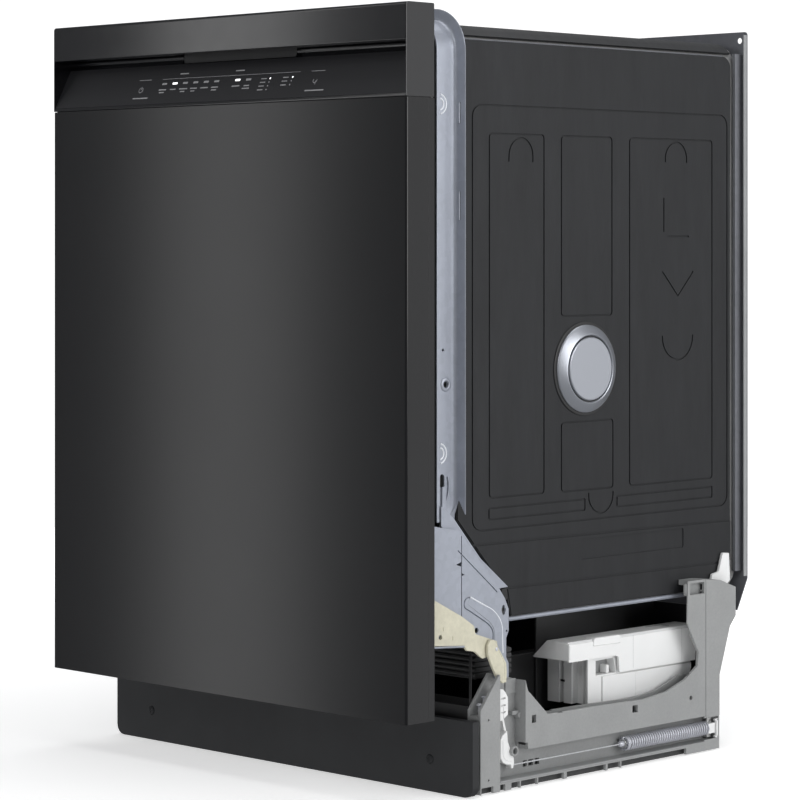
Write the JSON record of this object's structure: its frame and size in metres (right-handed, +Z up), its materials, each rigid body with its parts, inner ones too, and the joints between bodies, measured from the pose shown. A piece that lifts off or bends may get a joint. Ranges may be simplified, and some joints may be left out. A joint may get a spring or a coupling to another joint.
{
  "type": "built-in dishwasher",
  "caption": "Undercounter dishwasher with a drop-down door on rope and spring counterbalance, steel tub, sliding wire racks, spray arms and a plastic base.",
  "frame": {"origin": "on the floor under the middle of the machine's outer box", "axes": "+X to the machine's right as seen from its front, -Y out of the door's front, +Z up"},
  "size_m": [0.602, 0.6, 0.86],
  "materials": {
    "painted_door_steel": "semi-gloss black",
    "console_plastic": "smooth black",
    "kick_paint": "satin black",
    "stainless_steel": "brushed",
    "galvanised_steel": "dull galvanised",
    "sound_mat": "matt bitumen",
    "felt": "felted",
    "base_plastic": "fine moulded",
    "white_plastic": "smooth moulded",
    "cream_plastic": "moulded acetal",
    "brushed_metal": "brushed",
    "rubber": "matt",
    "rope": "braided",
    "spring_steel": "oiled wire",
    "black_plastic": "satin",
    "grey_plastic": "satin",
    "coated_wire": "nylon coated",
    "circuit_board": "solder mask"
  },
  "bodies": {
    "root": {"base_pan": "base_plastic", "toe_kick": "kick_paint", "toe_kick_screw_1": "kick_paint", "toe_kick_screw_2": "kick_paint", "levelling_foot_1": "base_plastic", "levelling_foot_2": "base_plastic", "levelling_foot_3": "base_plastic", "tub": "stainless_steel", "front_collar": "galvanised_steel", "rear_panel": "galvanised_steel", "tub_gasket": "rubber", "top_mat": "sound_mat", "vent_cap": "brushed_metal", "sump": "black_plastic", "circulation_pump": "black_plastic", "drain_pump": "grey_plastic", "power_module_housing": "white_plastic", "power_module_lid": "white_plastic", "spray_feed_pipe": "black_plastic", "base_side_right": "base_plastic", "side_mat_right": "sound_mat", "hinge_plate_right": "galvanised_steel", "rack_rail_right": "stainless_steel", "rope_guide_right": "white_plastic", "rope_lower_right": "rope", "spring_right": "spring_steel", "spring_anchor_right": "white_plastic", "base_side_left": "base_plastic", "side_mat_left": "sound_mat", "hinge_plate_left": "galvanised_steel", "rack_rail_left": "stainless_steel", "rope_guide_left": "white_plastic", "rope_lower_left": "rope", "spring_left": "spring_steel", "spring_anchor_left": "white_plastic"},
    "door": {"door_panel": "painted_door_steel", "control_fascia": "console_plastic", "door_liner": "stainless_steel", "door_insulation": "felt", "control_board": "circuit_board", "door_latch": "black_plastic", "dispenser_body": "grey_plastic", "hinge_lever_right": "cream_plastic", "hinge_lever_left": "cream_plastic"},
    "dispenser_lid": {"dispenser_lid": "grey_plastic"},
    "rinse_cap": {"rinse_cap": "grey_plastic"},
    "lower_rack": {"lower_rack": "coated_wire", "cutlery_basket": "grey_plastic"},
    "upper_rack": {"upper_rack": "coated_wire"},
    "lower_spray_arm": {"lower_spray_arm": "grey_plastic"},
    "upper_spray_arm": {"upper_spray_arm": "grey_plastic"},
    "filter": {"filter_cylinder": "grey_plastic"},
    "link_right": {"hinge_link_right": "cream_plastic"},
    "rope_swing_right": {"rope_upper_right": "rope"},
    "rope_clip_right": {"rope_clip_right": "white_plastic"},
    "spring_hook_right": {"spring_hook_right": "spring_steel"},
    "link_left": {"hinge_link_left": "cream_plastic"},
    "rope_swing_left": {"rope_upper_left": "rope"},
    "rope_clip_left": {"rope_clip_left": "white_plastic"},
    "spring_hook_left": {"spring_hook_left": "spring_steel"}
  },
  "joints": [
    {"name": "door_hinge", "type": "hinge", "parent": "root", "child": "door", "pos_m": [0, -0.252, 0.15], "axis": [1, 0, 0], "range_deg": [0, 90]},
    {"name": "dispenser_lid_slide", "type": "slide", "parent": "door", "child": "dispenser_lid", "axis": [0, 0, 1], "range_m": [0, 0.08]},
    {"name": "rinse_cap_turn", "type": "hinge", "parent": "door", "child": "rinse_cap", "pos_m": [0.044, -0.2392, 0.49], "axis": [0, 1, 0], "range_deg": [0, 90]},
    {"name": "lower_rack_slide", "type": "slide", "parent": "root", "child": "lower_rack", "axis": [0, -1, 0], "range_m": [0, 0.012]},
    {"name": "upper_rack_slide", "type": "slide", "parent": "root", "child": "upper_rack", "axis": [0, -1, 0], "range_m": [0, 0.012]},
    {"name": "lower_spray_arm_spin", "type": "hinge", "parent": "root", "child": "lower_spray_arm", "pos_m": [0, 0.017, 0.1945], "axis": [0, 0, 1], "continuous": true},
    {"name": "upper_spray_arm_spin", "type": "hinge", "parent": "upper_rack", "child": "upper_spray_arm", "pos_m": [0, 0.017, 0.5415], "axis": [0, 0, 1], "continuous": true},
    {"name": "filter_twist", "type": "hinge", "parent": "root", "child": "filter", "pos_m": [0, -0.06, 0.152], "axis": [0, 0, 1], "range_deg": [-60, 0]},
    {"name": "link_pivot_right", "type": "hinge", "parent": "door", "child": "link_right", "pos_m": [0.29, -0.153, 0.157], "axis": [1, 0, 0], "range_deg": [-90.5, 0]},
    {"name": "rope_swing_right", "type": "hinge", "parent": "root", "child": "rope_swing_right", "pos_m": [0.2875, -0.131, 0.066], "axis": [1, 0, 0], "range_deg": [0, 35]},
    {"name": "rope_clip_slide_right", "type": "slide", "parent": "rope_swing_right", "child": "rope_clip_right", "axis": [0, -0.128, 0.9918], "range_m": [0, 0.1344], "deforming": ["rope_upper_right"]},
    {"name": "spring_hook_slide_right", "type": "slide", "parent": "root", "child": "spring_hook_right", "axis": [0, -1, 0], "range_m": [0, 0.1344], "deforming": ["spring_right", "rope_lower_right"]},
    {"name": "link_pivot_left", "type": "hinge", "parent": "door", "child": "link_left", "pos_m": [-0.29, -0.153, 0.157], "axis": [1, 0, 0], "range_deg": [-90.5, 0]},
    {"name": "rope_swing_left", "type": "hinge", "parent": "root", "child": "rope_swing_left", "pos_m": [-0.2875, -0.131, 0.066], "axis": [1, 0, 0], "range_deg": [0, 35]},
    {"name": "rope_clip_slide_left", "type": "slide", "parent": "rope_swing_left", "child": "rope_clip_left", "axis": [0, -0.128, 0.9918], "range_m": [0, 0.1344], "deforming": ["rope_upper_left"]},
    {"name": "spring_hook_slide_left", "type": "slide", "parent": "root", "child": "spring_hook_left", "axis": [0, -1, 0], "range_m": [0, 0.1344], "deforming": ["spring_left", "rope_lower_left"]}
  ],
  "couplings": [
    {"joint": "link_pivot_right", "follows": "door_hinge", "ratio": -1},
    {"joint": "rope_swing_right", "follows": "door_hinge", "ratio": 0.3828},
    {"joint": "rope_clip_slide_right", "follows": "door_hinge", "m_per_rad": 0.08515},
    {"joint": "spring_hook_slide_right", "follows": "door_hinge", "m_per_rad": 0.08515},
    {"joint": "link_pivot_left", "follows": "door_hinge", "ratio": -1},
    {"joint": "rope_swing_left", "follows": "door_hinge", "ratio": 0.3828},
    {"joint": "rope_clip_slide_left", "follows": "door_hinge", "m_per_rad": 0.08515},
    {"joint": "spring_hook_slide_left", "follows": "door_hinge", "m_per_rad": 0.08515}
  ]
}
